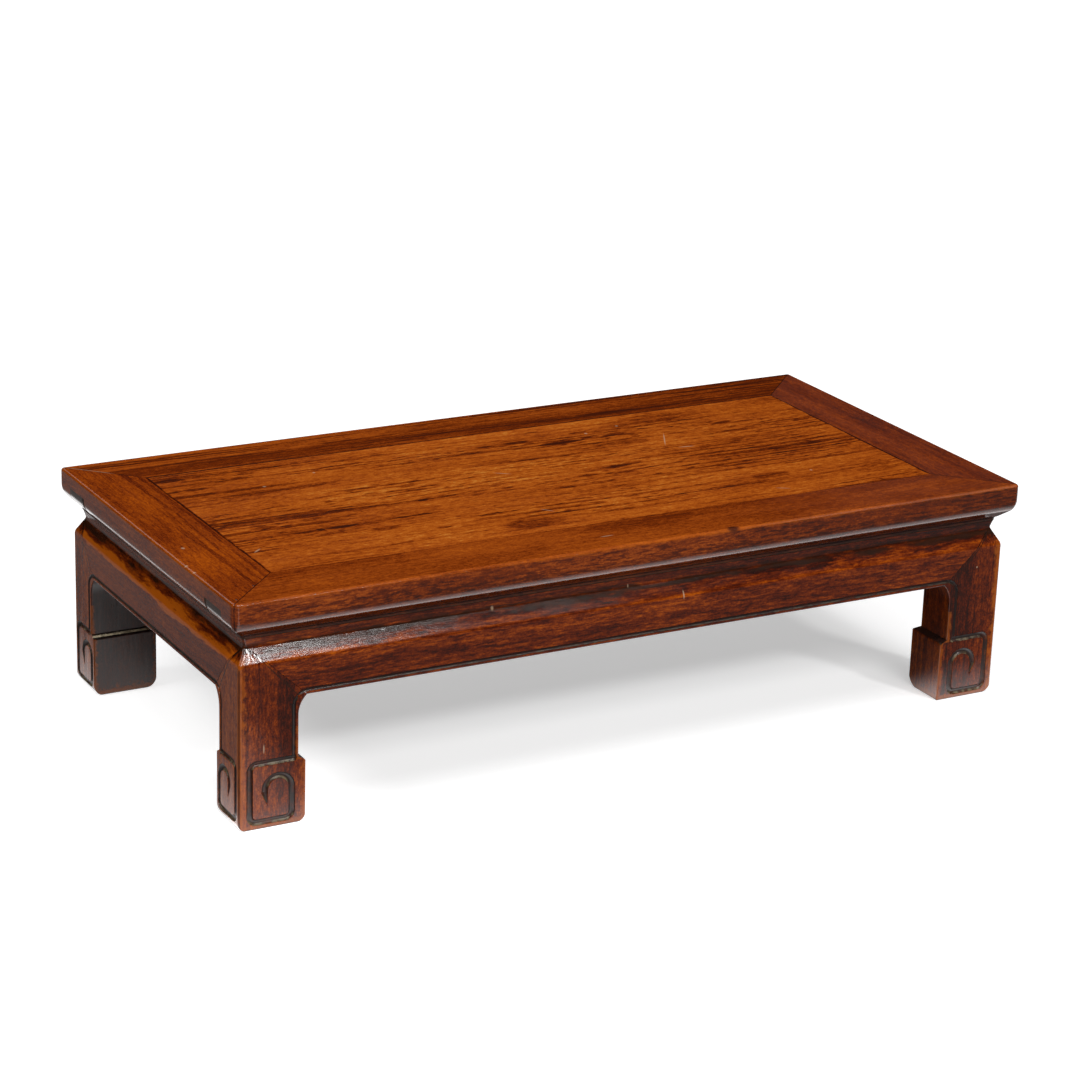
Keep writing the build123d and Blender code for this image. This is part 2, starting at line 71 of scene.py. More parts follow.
class Graph:
    """Writes a node tree. Each method adds nodes and returns the output that they end in."""

    def __init__(self, tree):
        self.tree = tree

    def node(self, kind, output, inputs, **settings):
        made = self.tree.nodes.new(kind)
        for key, value in settings.items():
            setattr(made, key, value)
        for key, value in inputs.items():
            if isinstance(value, bpy.types.NodeSocket):
                self.tree.links.new(value, made.inputs[key])
            else:
                made.inputs[key].default_value = value
        return made.outputs[output]

    def object_place(self):
        """The object's own coordinates, which are the frame's."""
        return self.node("ShaderNodeTexCoord", "Object", {})

    def split(self, vector):
        made = self.tree.nodes.new("ShaderNodeSeparateXYZ")
        self.tree.links.new(vector, made.inputs[0])
        return made.outputs[0], made.outputs[1], made.outputs[2]

    def math(self, operation, *values):
        return self.node("ShaderNodeMath", 0, dict(enumerate(values)), operation=operation)

    def chain(self, operation, values):
        total = values[0]
        for value in values[1:]:
            total = self.math(operation, total, value)
        return total

    def add(self, *values):
        return self.chain("ADD", values)

    def mul(self, *values):
        return self.chain("MULTIPLY", values)

    def highest(self, *values):
        return self.chain("MAXIMUM", values)

    def lowest(self, *values):
        return self.chain("MINIMUM", values)

    def sub(self, first, second):
        return self.math("SUBTRACT", first, second)

    def absolute(self, value):
        return self.math("ABSOLUTE", value)

    def squares(self, first, second):
        """The sum of two squares."""
        return self.add(self.math("POWER", first, 2.0), self.math("POWER", second, 2.0))

    def distance(self, first, second):
        return self.math("SQRT", self.squares(first, second))

    def step(self, value, low, high, to_low=0.0, to_high=1.0):
        """A smooth step; with low above high it falls instead of rising."""
        return self.node("ShaderNodeMapRange", 0, {
            "Value": value, "From Min": low, "From Max": high, "To Min": to_low, "To Max": to_high,
        }, interpolation_type="SMOOTHSTEP")

    def band(self, value, start, full, fall, end):
        """One between full and fall, zero outside start and end."""
        return self.mul(self.step(value, start, full), self.step(value, end, fall))

    def line(self, value, place, outside=0.0012, inside=0.0003):
        """One where value is within inside of place, zero where it is farther than outside."""
        return self.step(self.absolute(self.add(value, -place)), outside, inside)

    def mix(self, factor, first, second):
        """Blends two colours."""
        def colour(value):
            return (*value, 1.0) if isinstance(value, tuple) else value
        return self.node(
            "ShaderNodeMix", 2, {0: factor, 6: colour(first), 7: colour(second)}, data_type="RGBA")

    def blend(self, factor, first, second):
        """Blends two numbers."""
        return self.node("ShaderNodeMix", 0, {0: factor, 2: first, 3: second}, data_type="FLOAT")


# ---- the wood ----

# Colours by tone, from dark to light: of the panel and long rails, of the rest, of bare wood
ORANGE = (
    (0.0, (0.055, 0.010, 0.004)),
    (0.20, (0.115, 0.017, 0.003)),
    (0.35, (0.185, 0.028, 0.0025)),
    (0.50, (0.305, 0.056, 0.0055)),
    (0.65, (0.418, 0.085, 0.0070)),
    (0.85, (0.545, 0.135, 0.013)),
    (1.0, (0.640, 0.230, 0.035)),
)
RED = (
    (0.0, (0.020, 0.005, 0.003)),
    (0.20, (0.042, 0.007, 0.003)),
    (0.35, (0.084, 0.011, 0.003)),
    (0.50, (0.150, 0.021, 0.003)),
    (0.65, (0.260, 0.043, 0.004)),
    (0.85, (0.440, 0.086, 0.004)),
    (1.0, (0.610, 0.135, 0.007)),
)
BARE = (
    (0.0, (0.020, 0.011, 0.007)),
    (0.5, (0.075, 0.036, 0.018)),
    (1.0, (0.160, 0.080, 0.040)),
)
WORN = (0.460, 0.105, 0.006)  # rubbed edges
PAINTED_SHADE = (0.014, 0.010, 0.009)  # painted shade in corners and grooves, and on the inner faces
COVE_AND_JOINT_DARK = (0.028, 0.010, 0.004)  # darker in the cove over the shoulder, and the dark of the joints
KHAKI_DUST_AND_LIGHT = (0.800, 0.680, 0.460)  # dust on the back feet's ledges, brightened as painted light
DUST = (0.230, 0.175, 0.100)  # in grooves that face up
TENON = (0.026, 0.017, 0.010)  # end grain of the through-tenons
PALE = (0.560, 0.380, 0.250)  # scratches and specks
CHIP = (0.050, 0.010, 0.005)
SOLE = (0.060, 0.034, 0.020)  # bare wood under the feet

GLOSS = 0.35  # specular level of all the wood
SHINE = 0.15  # roughness of clean lacquer
BARE_ROUGHNESS = 0.75
BUMP_DEPTH = 0.0006

# How far the shading fills the round under the long rails' edge, over and under its bend
ROLL_ABOVE = 0.00030
ROLL_BELOW = 0.00035
ROLL_TOP = 0.2160
ROLL_BEND = 0.2105
ROLL_BOTTOM = 0.2045


class Wood(Graph):
    """A wood material: sets up coordinates, then the tone of the grain, then the surface."""

    def __init__(self, name, grain, seed):
        self.material = bpy.data.materials.new(name)
        self.material.use_nodes = True
        super().__init__(self.material.node_tree)
        self.grain = "XYZ".index(grain)
        self.seed = seed
        self.place = self.object_place()
        self.x, self.y, self.z = self.split(self.place)
        self.ax = self.absolute(self.x)
        self.ay = self.absolute(self.y)
        facing_x, facing_y, self.up = self.split(self.node("ShaderNodeNewGeometry", "Normal", {}))
        # One on faces that look toward the middle of the table
        self.inward = self.step(self.highest(
            self.mul(facing_x, self.math("SIGN", self.x), -1.0),
            self.mul(facing_y, self.math("SIGN", self.y), -1.0)), 0.3, 0.7)

    def ramp(self, value, stops):
        made = self.tree.nodes.new("ShaderNodeValToRGB")
        elements = made.color_ramp.elements
        while len(elements) < len(stops):
            elements.new(0.5)
        for element, (place, colour) in zip(elements, stops):
            element.position = place
            element.color = (*colour, 1.0)
        self.tree.links.new(value, made.inputs[0])
        return made.outputs[0]

    def wobbled(self, vector, scale, amount):
        """The same coordinates, pushed about a little."""
        colour = self.node(
            "ShaderNodeTexNoise", 1, {"Vector": vector, "Scale": scale, "Detail": 2.0})
        centred = self.node(
            "ShaderNodeVectorMath", 0, {0: colour, 1: (0.5, 0.5, 0.5)}, operation="SUBTRACT")
        return self.node("ShaderNodeVectorMath", 0, {
            0: centred, 1: (amount, amount, amount), 2: vector,
        }, operation="MULTIPLY_ADD")

    def noise(self, vector, along, across, shift, detail=2.0, roughness=0.5):
        """Noise with one scale along the grain and another across it, per metre."""
        scale = [across, across, across]
        scale[self.grain] = along
        place = self.seed + shift
        stretched = self.node("ShaderNodeMapping", 0, {
            "Vector": vector,
            "Location": (place, place * 1.7, place * 0.6),
            "Scale": scale,
        }, vector_type="POINT")
        return self.node("ShaderNodeTexNoise", 0, {
            "Vector": stretched, "Scale": 1.0, "Detail": detail, "Roughness": roughness,
        })

    def layer(self, along, across, shift, detail=2.0, roughness=0.55):
        """Noise that follows the grain's waves, about zero, from -0.5 to 0.5."""
        value = self.noise(self.flow, along, across, shift, detail, roughness)
        return self.step(value, 0.28, 0.72, -0.5, 0.5)

    def figure(
            self, base, bands=0.2, dashes=0.3, ticks=0.2, mottle=0.15, clouds=0.0, streaks=0.2,
            flecks=0.0, grit=0.16):
        """Tone of the wood, from 0 (dark) to 1 (light)."""
        self.flow = self.wobbled(self.wobbled(self.place, 5.0, 0.012), 55.0, 0.0022)
        zone = self.step(self.layer(2.5, 12.0, 3.1), -0.25, 0.25)
        streak = self.step(self.layer(2.6, 170.0, 5.3, 3.0, 0.6), 0.02, 0.34)
        fleck = self.step(self.layer(42.0, 210.0, 11.9), 0.20, 0.40)
        self.pores = self.step(self.noise(self.place, 170.0, 1900.0, 4.1, 1.0), 0.58, 0.72)
        return self.add(
            base,
            self.mul(self.layer(1.5, 38.0, 0.0, 3.0), bands),
            self.mul(self.layer(34.0, 300.0, 8.7, 3.0, 0.62), dashes),
            self.mul(self.layer(110.0, 620.0, 1.9, 2.0), ticks),
            self.mul(self.layer(130.0, 230.0, 7.7, 3.0, 0.65), mottle),
            self.mul(self.layer(7.0, 11.0, 13.3), clouds),
            self.mul(self.layer(430.0, 640.0, 15.7, 2.0, 0.6), grit),
            self.mul(streak, self.blend(zone, 0.4, 1.0), -streaks),
            self.mul(fleck, zone, -flecks),
            self.mul(self.pores, -0.08),
        )

    def marks(self, aspect, spots):
        """Long dark marks in the grain; each has x, y, half its length and how dark it is."""
        scale = [aspect, aspect, aspect]
        scale[self.grain] = 1.0
        flat = self.node("ShaderNodeMapping", 0, {
            "Vector": self.wobbled(self.flow, 140.0, 0.0014), "Scale": (scale[0], scale[1], 0.0)})
        total = 0.0
        for x, y, reach, strength in spots:
            away = self.node("ShaderNodeVectorMath", 1, {
                0: flat, 1: (x * scale[0], y * scale[1], 0.0)}, operation="DISTANCE")
            total = self.highest(total, self.step(away, reach, reach * 0.5, 0.0, strength))
        return total

    def spotted(self, colour, spots, strength, paint):
        """The colour with small spots on it; each has a centre, half sizes and a turn about Z."""
        for centre, sizes, turn in spots:
            local = self.node("ShaderNodeMapping", 0, {
                "Vector": self.place, "Location": centre,
                "Rotation": (0.0, 0.0, math.radians(turn)), "Scale": sizes,
            }, vector_type="TEXTURE")
            reach = self.node("ShaderNodeVectorMath", 1, {0: local}, operation="LENGTH")
            colour = self.mix(self.step(reach, 1.0, 0.4, 0.0, strength), colour, paint)
        return colour

    def cavity(self):
        """One in a corner or groove of a few millimetres, zero in the open."""
        made = self.tree.nodes.new("ShaderNodeAmbientOcclusion")
        made.samples = 8
        made.inputs["Distance"].default_value = 0.003
        return self.step(made.outputs["AO"], 0.85, 0.45)

    def finish(self, colour, roughness, height):
        tree = self.tree
        shader = tree.nodes["Principled BSDF"]
        tree.links.new(colour, shader.inputs["Base Color"])
        tree.links.new(roughness, shader.inputs["Roughness"])
        shader.inputs["Specular IOR Level"].default_value = GLOSS
        bump = self.node(
            "ShaderNodeBump", 0, {"Height": height, "Strength": 1.0, "Distance": BUMP_DEPTH})
        tree.links.new(bump, shader.inputs["Normal"])
        return self.material


def on_top(*spots):
    """Spots on the table's top, given as x, y, half length, half width and turn."""
    return [((x, y, HEIGHT), (length, width, 0.01), turn) for x, y, length, width, turn in spots]


def rail_wood(
        name, grain, seed, base, palette, shade=0.0, side=-0.04, curls=0.30, inner=0.6, dull=0.0,
        marks=(), specks=(), chips=(), **figure):
    """A rail of the top's frame: polished outside, worn on its arris, bare underneath.

    shade darkens it toward the right, side changes the tone of its edge, curls are dark curls
    on the edge, inner is the joint with the panel, and dull roughens the top toward the right.
    """
    w = Wood(name, grain, seed)
    long_rail = grain == "X"
    inset = w.sub(HALF_DEPTH if long_rail else HALF_LENGTH, w.ay if long_rail else w.ax)
    drop = w.sub(HEIGHT, w.z)
    edge = w.step(drop, 0.0012, 0.0035)

    # Tone: the grain, the shade, the curls and the joints
    tone = w.figure(base, **figure)
    if marks:
        tone = w.add(tone, w.mul(w.marks(6.0, marks), -1.0))
    patches = w.layer(9.0, 60.0, 2.6, 3.0, 0.6)
    curl = w.mul(
        w.step(w.layer(55.0, 420.0, 6.6, 3.0, 0.65), -0.12, 0.25),
        w.step(patches, -0.25, 0.25, 0.4, 1.0))
    tone = w.add(
        tone,
        w.mul(w.step(w.x, 0.0, 0.38), w.step(edge, 0.0, 1.0, 0.85, 1.0), -shade),
        w.mul(edge, side),
        w.mul(edge, curl, -curls))
    off_diagonal = w.sub(w.ax, w.ay)
    mitre = HALF_LENGTH - HALF_DEPTH
    seam = w.highest(
        w.mul(w.line(off_diagonal, mitre), w.step(patches, -0.4, 0.2, 0.3, 0.8)),
        w.mul(w.line(inset, RAIL_WIDTH, inside=0.0004), inner))
    tone = w.add(tone, w.mul(seam, -0.6))

    # Colour: the open mitre at the back left corner, wear, spots, painted shade in corners and the
    # quirk, and end grain
    colour = w.ramp(tone, palette)
    corner = w.mul(w.step(w.x, -0.405, -0.415), w.step(w.y, 0.170, 0.180))
    colour = w.mix(w.mul(w.line(off_diagonal, mitre, 0.0014, 0.0004), corner, 0.6), colour, PALE)
    torn = w.layer(60.0, 150.0, 9.1, 3.0, 0.6)
    worn = w.step(w.add(w.distance(inset, drop), w.mul(torn, 0.003)), 0.0045, 0.0015, 0.0, 0.4)
    colour = w.mix(w.mul(worn, w.step(patches, -0.4, 0.2, 0.4, 1.0)), colour, WORN)
    colour = w.spotted(colour, specks, 0.6, PALE)
    colour = w.spotted(colour, chips, 0.9, CHIP)
    # Painted shade: darker in the quirk under the moulding and in narrow corners
    quirk = w.step(w.z, 0.1985, 0.1972)
    crease_shade = w.highest(w.cavity(), w.mul(quirk, 0.8))
    colour = w.mix(w.mul(crease_shade, 0.85), colour, PAINTED_SHADE)
    if long_rail:
        end = w.step(w.ax, HALF_LENGTH - 0.0010, HALF_LENGTH - 0.0004, 0.0, 0.85)
        colour = w.mix(end, colour, TENON)
    hidden = w.highest(
        w.step(w.z, RAIL_BOTTOM + 0.0012, RAIL_BOTTOM + 0.0004),
        w.mul(w.step(inset, RAIL_WIDTH - 0.008, RAIL_WIDTH - 0.002), w.step(w.z, 0.2350, 0.2335)))
    colour = w.mix(hidden, colour, w.ramp(tone, BARE))

    # Surface: uneven on top, smooth on the round under the edge
    matt = w.mul(w.step(w.x, 0.05, 0.30), w.step(drop, 0.004, 0.001), dull)
    rough = w.add(SHINE, w.mul(patches, 0.08), w.mul(crease_shade, 0.25), matt)
    height = w.mul(
        w.add(w.mul(w.pores, -0.015), w.mul(patches, 0.12), w.mul(torn, 0.03)),
        w.step(w.z, 0.2120, 0.2200))
    if long_rail:
        height = w.add(
            height,
            w.step(w.z, ROLL_BEND, ROLL_TOP, 0.0, ROLL_ABOVE / BUMP_DEPTH),
            w.step(w.z, ROLL_BOTTOM, ROLL_BEND, 0.0, -ROLL_BELOW / BUMP_DEPTH))
    return w.finish(colour, w.blend(hidden, rough, BARE_ROUGHNESS), height)


def panel_wood(name, grain, seed):
    """The floating panel: polished on top, bare underneath, with the marks of the real board."""
    w = Wood(name, grain, seed)
    tone = w.figure(
        0.685, bands=0.16, dashes=0.15, ticks=0.22, mottle=0.21, clouds=0.17, streaks=0.34,
        flecks=0.34)
    flecks = w.marks(4.0, (
        (-0.365, 0.135, 0.022, 0.50), (-0.350, 0.100, 0.018, 0.36), (-0.373, 0.100, 0.011, 0.36),
        (-0.333, -0.036, 0.019, 0.38), (-0.311, -0.039, 0.010, 0.30), (-0.261, -0.063, 0.019, 0.42),
        (-0.303, -0.065, 0.011, 0.32), (-0.192, -0.061, 0.012, 0.32), (0.025, 0.114, 0.020, 0.48),
        (-0.013, 0.113, 0.012, 0.42), (0.071, 0.095, 0.030, 0.50), (0.107, 0.119, 0.014, 0.36),
        (0.141, 0.098, 0.019, 0.44), (0.112, 0.098, 0.012, 0.36), (0.060, 0.140, 0.010, 0.36),
        (0.093, 0.000, 0.021, 0.38), (0.087, -0.021, 0.017, 0.32), (0.043, -0.016, 0.021, 0.32),
        (0.115, 0.003, 0.010, 0.34), (0.005, -0.042, 0.014, 0.28), (-0.171, -0.061, 0.015, 0.36),
        (-0.168, -0.107, 0.012, 0.34), (-0.106, -0.090, 0.019, 0.26), (-0.054, -0.020, 0.012, 0.28),
        (0.272, 0.092, 0.017, 0.34), (-0.223, -0.087, 0.022, 0.28),
    ))
    broad = w.marks(2.6, (
        (0.150, 0.067, 0.024, 0.20), (-0.082, -0.129, 0.044, 0.26), (0.221, -0.091, 0.030, 0.24),
    ))
    lines = w.marks(22.0, (
        (-0.360, 0.016, 0.028, 0.34), (-0.360, -0.014, 0.034, 0.34), (0.013, 0.055, 0.095, 0.34),
        (0.278, -0.012, 0.130, 0.28), (-0.279, 0.067, 0.090, 0.32), (-0.325, 0.082, 0.110, 0.28),
    ))
    knots = w.marks(1.8, ((-0.285, -0.062, 0.0058, 1.0), (-0.151, -0.021, 0.0062, 1.0)))
    tone = w.add(tone, w.mul(w.highest(flecks, broad, lines, knots), -1.0))

    # The joints with the rails, and slightly darker ends
    patches = w.layer(9.0, 40.0, 2.6, 3.0)
    ends = w.mul(w.step(w.ax, 0.3796, 0.3808), w.step(patches, -0.4, 0.2, 0.1, 0.7))
    back = w.mul(w.step(w.y, 0.1545, 0.1554), w.step(w.x, 0.20, -0.10, 0.25, 0.6))
    front = w.mul(w.step(w.y, -0.1554, -0.1563), 0.25)
    tone = w.add(
        tone,
        w.mul(w.highest(ends, back, front), -0.8),
        w.step(w.ax, 0.37, 0.10, -0.05, 0.045))

    scratches = on_top(
        (-0.216, 0.104, 0.0020, 0.0022, 0),
        (-0.282, 0.082, 0.0026, 0.0020, 0),
        (0.114, 0.112, 0.0024, 0.0028, 0),
        (0.159, 0.123, 0.0022, 0.0022, 0),
        (0.183, 0.060, 0.0260, 0.0010, 62),
        (0.192, 0.028, 0.0120, 0.0014, -8),
        (-0.036, 0.024, 0.0120, 0.0010, -35),
        (-0.050, -0.100, 0.0100, 0.0009, -50),
        (-0.368, -0.095, 0.0080, 0.0014, 40),
        (0.272, -0.095, 0.0020, 0.0022, 0),
        (0.211, -0.135, 0.0100, 0.0009, -30),
    )
    colour = w.spotted(w.ramp(tone, ORANGE), scratches, 0.6, PALE)
    hidden = w.step(w.z, 0.2335, 0.2325)
    colour = w.mix(hidden, colour, w.ramp(tone, BARE))
    rough = w.blend(hidden, w.add(0.20, w.mul(patches, 0.10)), BARE_ROUGHNESS)
    height = w.add(w.mul(w.pores, -0.015), w.mul(patches, 0.25))
    return w.finish(colour, rough, height)


def base_wood(
        name, grain, seed, base, side=0.0, shade=0.0, glow=0.14, inside=0.35, inner=0.0,
        edges=0.0, foot=0.08, ledge=0.0, specks=(), **figure):
    """An apron or a leg.

    side is painted light that changes the tone of the left and right faces, shade darkens it
    toward the right, glow is painted light on the shoulder and foot painted light from the floor on
    the foot. On hidden faces, inside is painted shade and inner is painted light that changes the
    tone. edges is the wear on inner edges, and ledge the dust on top of the foot, brightened as
    painted light.
    """
    w = Wood(name, grain, seed)
    inset_x = w.sub(FACE_X, w.ax)
    inset_y = w.sub(FACE_Y, w.ay)
    inset = w.lowest(inset_x, inset_y)

    # Tone: the grain, then the rubbed waist, and painted light on the side faces, the shoulder, the
    # hidden faces and the foot
    tone = w.figure(base, **figure)
    patches = w.layer(12.0, 70.0, 6.6, 3.0, 0.65)
    torn = w.layer(120.0, 150.0, 9.1, 3.0, 0.65)
    ragged = w.add(w.z, w.mul(patches, 0.008))
    rubbed = w.step(w.layer(16.0, 110.0, 4.4, 3.0, 0.6), 0.0, 0.25)
    above = w.step(ragged, 0.1715, 0.1750)
    hidden = w.highest(w.step(inset, 0.0150, 0.0200), w.mul(w.inward, w.step(w.z, 0.135, 0.128)))
    tone = w.add(
        tone,
        # Painted light: the left and right faces lighter
        w.mul(w.step(inset_x, 0.004, 0.001), w.step(inset_y, 0.001, 0.004), side),
        w.mul(w.step(w.x, -0.10, 0.30), -shade),
        w.mul(above, w.step(ragged, 0.1860, 0.1830), rubbed, -0.22),
        w.mul(w.step(ragged, 0.1810, 0.1850), -0.03),
        # Painted light: a lighter band on the shoulder's round
        w.mul(w.band(ragged, 0.1645, 0.1675, 0.1720, 0.1770), glow),
        # Painted light: the hidden faces lighter, for the front legs
        w.mul(hidden, inner),
        # Painted light from the floor: the foot lighter
        w.step(w.z, 0.070, 0.060, 0.0, foot))

    # Colour: darker in the cove, and painted shade on the hidden faces, with worn scuffs low down
    colour = w.ramp(tone, RED)
    cove = w.band(ragged, 0.1770, 0.1810, 0.1850, 0.1875)
    colour = w.mix(w.mul(cove, w.step(patches, -0.4, 0.1, 0.3, 0.85)), colour, COVE_AND_JOINT_DARK)
    # Painted shade on the hidden faces
    colour = w.mix(w.mul(hidden, inside), colour, PAINTED_SHADE)
    low = w.step(w.add(w.z, w.mul(patches, 0.020)), 0.016, 0.002)
    scuffed = w.mul(hidden, low, w.step(torn, -0.1, 0.3))
    colour = w.mix(w.mul(scuffed, inside, 0.5), colour, WORN)

    # The worn outer arris, then the worn edges of the inner faces and the sole
    arris = w.add(w.distance(inset_x, inset_y), w.mul(torn, 0.007))
    worn = w.mul(w.step(arris, 0.0085, 0.0030), w.step(w.z, 0.186, 0.182))
    colour = w.mix(w.mul(worn, w.step(patches, -0.5, 0.2, 0.25, 0.70)), colour, WORN)
    away_x = w.sub(w.ax, w.step(w.z, FOOT_TOP, FOOT_TOP + 0.0005, FOOT_X, LEG_X))
    away_y = w.sub(w.ay, w.step(w.z, FOOT_TOP, FOOT_TOP + 0.0005, FOOT_Y, LEG_Y))
    upright = w.lowest(
        w.squares(away_x, inset_y), w.squares(away_y, inset_x), w.squares(away_x, away_y))
    rim = w.lowest(
        w.add(upright, w.step(w.z, 0.100, 0.115)), w.math("POWER", w.add(w.z, -0.002), 2.0))
    rim = w.add(w.math("SQRT", rim), w.mul(torn, 0.004))
    colour = w.mix(w.mul(w.step(rim, 0.0048, 0.0015), edges), colour, WORN)

    # The mitre between apron and leg
    mitre_x = w.add(inset_x, w.mul(w.z, MITRE_SLOPE_X))
    mitre_y = w.add(inset_y, w.mul(w.z, MITRE_SLOPE_Y))
    joint_x = w.line(mitre_x, MITRE_INSET + MITRE_TOP * MITRE_SLOPE_X)
    joint_y = w.line(mitre_y, MITRE_INSET + MITRE_TOP * MITRE_SLOPE_Y)
    joint = w.highest(
        w.mul(joint_x, w.step(inset_y, 0.012, 0.010)),
        w.mul(joint_y, w.step(inset_x, 0.012, 0.010)))
    joint = w.mul(joint, w.step(w.z, 0.130, 0.132), w.step(torn, -0.5, 0.1, 0.4, 0.9))
    colour = w.mix(joint, colour, COVE_AND_JOINT_DARK)

    # Painted shade in corners and beside the bead, with dust where the surface faces up
    face = w.highest(
        w.step(w.lowest(away_x, away_y), 0.0004, 0.0012), w.step(w.z, 0.1305, 0.1318))
    below = w.step(w.z, 0.1670, 0.1640)
    groove = w.mul(w.band(inset, 0.0002, 0.0008, 0.0040, 0.0060), below)
    crease_shade = w.highest(w.cavity(), w.mul(groove, face, w.step(torn, -0.6, 0.2, 0.75, 1.0)))
    colour = w.mix(w.mul(crease_shade, 0.95), colour, PAINTED_SHADE)
    dusty = w.mul(
        crease_shade, w.step(w.up, 0.10, 0.60), w.step(torn, -0.30, 0.25),
        w.step(w.z, 0.125, 0.115, 0.25, 1.0))
    colour = w.mix(w.mul(dusty, 0.8), colour, DUST)

    # The ledge on top of the foot: painted shade, with a line of dust brightened as painted light
    top = w.mul(w.step(w.up, 0.3, 0.8), w.step(w.z, 0.080, 0.075), w.step(w.z, 0.060, 0.063))
    deep = w.lowest(w.add(w.ax, -FOOT_X), w.add(w.ay, -FOOT_Y))
    colour = w.mix(w.mul(top, w.step(deep, 0.012, 0.010), 0.9), colour, PAINTED_SHADE)
    dust_line = w.mul(top, w.band(deep, 0.0016, 0.0024, 0.0038, 0.0046))
    colour = w.mix(w.mul(dust_line, w.step(torn, -0.3, 0.2, 0.6, 1.0), ledge), colour, KHAKI_DUST_AND_LIGHT)

    colour = w.spotted(colour, specks, 0.7, PALE)
    sole = w.step(w.z, 0.0010, 0.0004)
    colour = w.mix(sole, colour, SOLE)
    rough = w.add(
        SHINE, w.mul(sole, 0.5), w.mul(patches, 0.07), w.mul(crease_shade, below, 0.20),
        w.mul(hidden, 0.15))
    height = w.add(
        w.mul(w.pores, -0.015), w.mul(patches, 0.18), w.mul(torn, 0.03),
        w.mul(above, rubbed, -0.06))
    return w.finish(colour, rough, height)


def bare_wood(name, grain, seed, base):
    """The battens and pegs: dull wood without lacquer."""
    w = Wood(name, grain, seed)
    tone = w.figure(base)
    return w.finish(w.ramp(tone, BARE), w.add(0.70, w.mul(tone, 0.1)), w.mul(w.pores, -0.5))


LONG_APRON = dict(bands=0.28, dashes=0.32, ticks=0.22, mottle=0.12, clouds=0.12, streaks=0.14)
# glow on the end aprons: painted light on their shoulders
SIDE_APRON = dict(
    glow=0.46, bands=0.14, dashes=0.12, ticks=0.12, mottle=0.08, clouds=0.12, streaks=0.10)
# side on the legs: painted light on their left and right faces
LEG = dict(
    side=0.235, edges=0.5, bands=0.24, dashes=0.12, ticks=0.16, mottle=0.22, grit=0.22,
    clouds=0.14, streaks=0.16)
# inside on the back legs: painted shade on the hidden faces; ledge: dust brightened as painted light
FRONT_LEG = dict(LEG, inside=0.0)
BACK_LEG = dict(LEG, inside=0.85, ledge=0.9)

finishes = {
    "top_panel": panel_wood("wood_panel", "X", 1.0),
    "top_rail_front": rail_wood(
        "wood_rail_front", "X", 2.0, 0.50, ORANGE, shade=0.16, inner=0.2, dull=0.30,
        marks=((0.019, -0.172, 0.095, 0.14), (0.056, -0.166, 0.040, 0.14)),
        specks=on_top((-0.034, -0.1935, 0.0095, 0.0012, 0)),
        chips=[((0.095, -0.2225, 0.2345), (0.0095, 0.0055, 0.0055), 0)],
        bands=0.12, dashes=0.10, ticks=0.16, mottle=0.12, clouds=0.16, streaks=0.08),
    "top_rail_back": rail_wood(
        "wood_rail_back", "X", 3.0, 0.44, ORANGE,
        bands=0.32, dashes=0.16, ticks=0.14, mottle=0.12, streaks=0.40),
    "top_rail_left": rail_wood(
        "wood_rail_left", "Y", 4.0, 0.66, RED, side=0.09, curls=0.10,
        specks=[
            ((-0.431, -0.060, HEIGHT), (0.0024, 0.0034, 0.01), 0),
            ((-0.4475, -0.108, 0.2355), (0.0024, 0.0026, 0.003), 0),
            ((-0.4475, -0.128, 0.2355), (0.0022, 0.0022, 0.003), 0),
        ],
        bands=0.12, dashes=0.10, ticks=0.14, mottle=0.10, clouds=0.16, streaks=0.16),
    "top_rail_right": rail_wood(
        "wood_rail_right", "Y", 5.0, 0.52, RED, side=0.09, curls=0.10, dull=0.32,
        bands=0.12, dashes=0.10, ticks=0.12, mottle=0.10, clouds=0.12, streaks=0.10),
    "apron_front": base_wood(
        "wood_apron_front", "X", 6.0, 0.51, shade=0.14,
        specks=[
            ((0.046, -FACE_Y, 0.170), (0.0011, 0.0050, 0.0070), 0),
            ((-0.015, -0.209, 0.1850), (0.0012, 0.0060, 0.0030), 0),
            ((-0.168, -0.209, 0.1845), (0.0026, 0.0060, 0.0036), 0),
        ], **LONG_APRON),
    "apron_back": base_wood("wood_apron_back", "X", 7.0, 0.50, **LONG_APRON),
    "apron_left": base_wood("wood_apron_left", "Y", 8.0, 0.635, **SIDE_APRON),
    "apron_right": base_wood("wood_apron_right", "Y", 9.0, 0.635, **SIDE_APRON),
    # inner and foot on the front legs: painted light on the hidden faces and the foot
    "leg_front_left": base_wood(
        "wood_leg_front_left", "Z", 10.0, 0.52, inner=0.20,
        specks=[((-0.414, -FACE_Y, 0.082), (0.0009, 0.0050, 0.0060), 0)], **FRONT_LEG),
    "leg_front_right": base_wood(
        "wood_leg_front_right", "Z", 11.0, 0.33, inner=0.30, foot=0.15,
        specks=[((0.4095, -FACE_Y, 0.146), (0.0014, 0.0050, 0.0014), 0)], **FRONT_LEG),
    "leg_back_left": base_wood("wood_leg_back_left", "Z", 12.0, 0.50, **BACK_LEG),
    "leg_back_right": base_wood("wood_leg_back_right", "Z", 13.0, 0.50, **BACK_LEG),
    "batten_left": bare_wood("wood_batten_left", "Y", 14.0, 0.5),
    "batten_middle": bare_wood("wood_batten_middle", "Y", 15.0, 0.5),
    "batten_right": bare_wood("wood_batten_right", "Y", 16.0, 0.5),
    "frame_pegs": bare_wood("wood_pegs", "Z", 17.0, 0.8),
}
for name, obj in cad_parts.items():
    obj.data.materials.clear()
    obj.data.materials.append(finishes[name])


# ---- floor and light ----

LEFT_STRIP = 1.8  # glow of the floor's two strips, seen only in reflections: painted reflections
FRONT_STRIP = 3.8
FLOOR_SEEN = 0.75  # how much light the floor reflects to the camera
FLOOR_UNSEEN = 0.26  # and onto the table
GLOW = 0.50  # what the floor adds by itself for the camera
GLOW_LEFT = 0.78  # and left of the table's middle, painted light over the table's shadow
